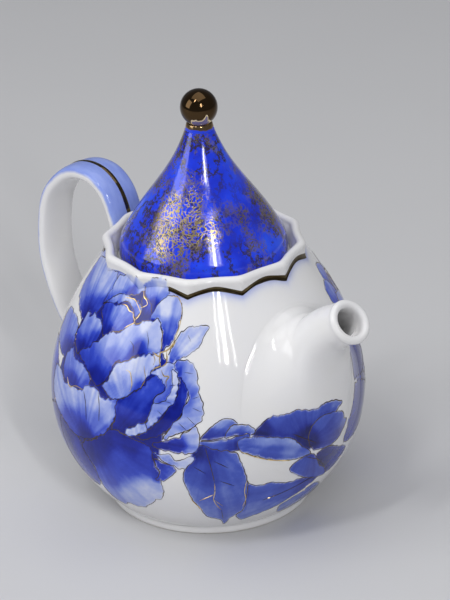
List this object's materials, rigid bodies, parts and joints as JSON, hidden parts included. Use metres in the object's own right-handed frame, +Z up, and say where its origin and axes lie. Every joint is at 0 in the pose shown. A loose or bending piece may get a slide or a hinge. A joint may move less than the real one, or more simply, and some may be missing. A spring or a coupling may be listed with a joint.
{
  "type": "teapot",
  "caption": "Pear-shaped porcelain teapot with a fluted collar, short spout, flat strap handle, loose cone lid with ball knob, blue flower painting and gold lines.",
  "frame": {"origin": "on the axis of the body, at the plane of the foot ring's standing face", "axes": "+Z up along the axis of the body, +X towards the spout, the handle towards -X"},
  "size_m": [0.1757, 0.125, 0.1711],
  "materials": {
    "white_glaze": "clear gloss glaze over white porcelain, with blue underglaze painting on the belly",
    "blue_edge_glaze": "gloss glaze over a pale blue wash on the strap's outer face, white inside",
    "cobalt_glaze": "gloss ultramarine with a fine broken net of gold",
    "gold_lustre": "burnished gold lustre fired on the glaze",
    "bare_foot": "glazed porcelain ring, wiped bare on its standing edge"
  },
  "bodies": {
    "pot": {"body_shell": "white_glaze", "foot_ring": "bare_foot", "rim_collar": "white_glaze", "lid_seat": "white_glaze", "spout": "white_glaze", "handle": "blue_edge_glaze", "rim_gold_line": "gold_lustre", "handle_gold_line": "gold_lustre"},
    "lid": {"lid_cone": "cobalt_glaze", "lid_flange": "white_glaze", "knob_neck": "white_glaze", "lid_knob": "gold_lustre"}
  },
  "joints": [
    {"name": "lid_lift", "type": "slide", "parent": "pot", "child": "lid", "axis": [0, 0, 1], "range_m": [0, 0.07]}
  ]
}
